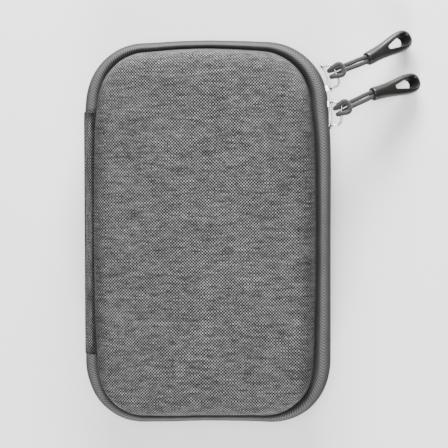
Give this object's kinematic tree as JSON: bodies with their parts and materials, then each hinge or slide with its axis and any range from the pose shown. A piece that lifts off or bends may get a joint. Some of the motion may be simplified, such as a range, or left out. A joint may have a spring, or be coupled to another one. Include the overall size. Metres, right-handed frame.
{
  "type": "cable organizer pouch",
  "caption": "Moulded zip case in grey heather fabric, opening like a book, with a mesh pocket and elastic loops inside and two corded zip pulls.",
  "frame": {"origin": "centre of the flat back face that it lies on", "axes": "+X across the width, away from the spine; +Y up the height, towards the end where the zip pulls are; +Z through the thickness, out of the front face"},
  "size_m": [0.1777, 0.2063, 0.052],
  "materials": {
    "heather_fabric": "heather grey plain weave",
    "moulded_foam": "matt moulded foam",
    "lining_fabric": "smooth knit lining",
    "binding_tape": "ribbed tape",
    "zipper_tape": "herringbone tape",
    "zipper_coil": "nylon coil",
    "mesh": "open net",
    "elastic": "ribbed elastic",
    "slider_metal": "bright plated metal",
    "pull_cord": "braided cord",
    "pull_tab": "satin moulded rubbery plastic"
  },
  "bodies": {
    "rear_half": {"rear_cover": "heather_fabric", "rear_foam_shell": "moulded_foam", "rear_lining": "lining_fabric", "rear_binding": "binding_tape", "rear_zipper_tape": "zipper_tape", "rear_zipper_coil": "zipper_coil", "spine_panel": "heather_fabric", "spine_lining": "lining_fabric", "elastic_band_lower": "elastic", "elastic_band_middle": "elastic", "elastic_band_upper": "elastic"},
    "front_half": {"front_cover": "heather_fabric", "front_foam_shell": "moulded_foam", "front_lining": "lining_fabric", "front_binding": "binding_tape", "front_zipper_tape": "zipper_tape", "front_zipper_coil": "zipper_coil", "mesh_pocket": "mesh", "mesh_pocket_elastic": "elastic"},
    "slider_1": {"slider_1_body": "slider_metal", "slider_1_bridge": "slider_metal"},
    "hitch_1": {"pull_1_hitch": "pull_cord"},
    "pull_1": {"pull_1_cord": "pull_cord", "pull_1_tab": "pull_tab"},
    "slider_2": {"slider_2_body": "slider_metal", "slider_2_bridge": "slider_metal"},
    "hitch_2": {"pull_2_hitch": "pull_cord"},
    "pull_2": {"pull_2_cord": "pull_cord", "pull_2_tab": "pull_tab"}
  },
  "joints": [
    {"name": "lid_hinge", "type": "hinge", "parent": "rear_half", "child": "front_half", "pos_m": [-0.0644, 0, 0.026], "axis": [0, -1, 0], "range_deg": [0, 180], "deforming": ["spine_panel", "spine_lining"]},
    {"name": "slider_1_travel", "type": "hinge", "parent": "rear_half", "child": "slider_1", "pos_m": [0.0322, 0.068, 0.026], "axis": [0, 0, 1], "range_deg": [0, 53]},
    {"name": "slider_2_travel", "type": "slide", "parent": "rear_half", "child": "slider_2", "axis": [0, -1, 0], "range_m": [0, 0.121]},
    {"name": "pull_1_swing", "type": "hinge", "parent": "slider_1", "child": "hitch_1", "pos_m": [0.06756, 0.08351, 0.026], "axis": [0, 0, 1], "range_deg": [0, 32]},
    {"name": "pull_1_lift", "type": "hinge", "parent": "hitch_1", "child": "pull_1", "pos_m": [0.07181, 0.08527, 0.026], "axis": [0.3827, -0.9239, 0], "range_deg": [0, 75]},
    {"name": "pull_2_swing", "type": "hinge", "parent": "slider_2", "child": "hitch_2", "pos_m": [0.0708, 0.0642, 0.026], "axis": [0, 0, 1], "range_deg": [-55, 0]},
    {"name": "pull_2_lift", "type": "hinge", "parent": "hitch_2", "child": "pull_2", "pos_m": [0.07493, 0.06622, 0.026], "axis": [0.4384, -0.8988, 0], "range_deg": [0, 75]}
  ]
}
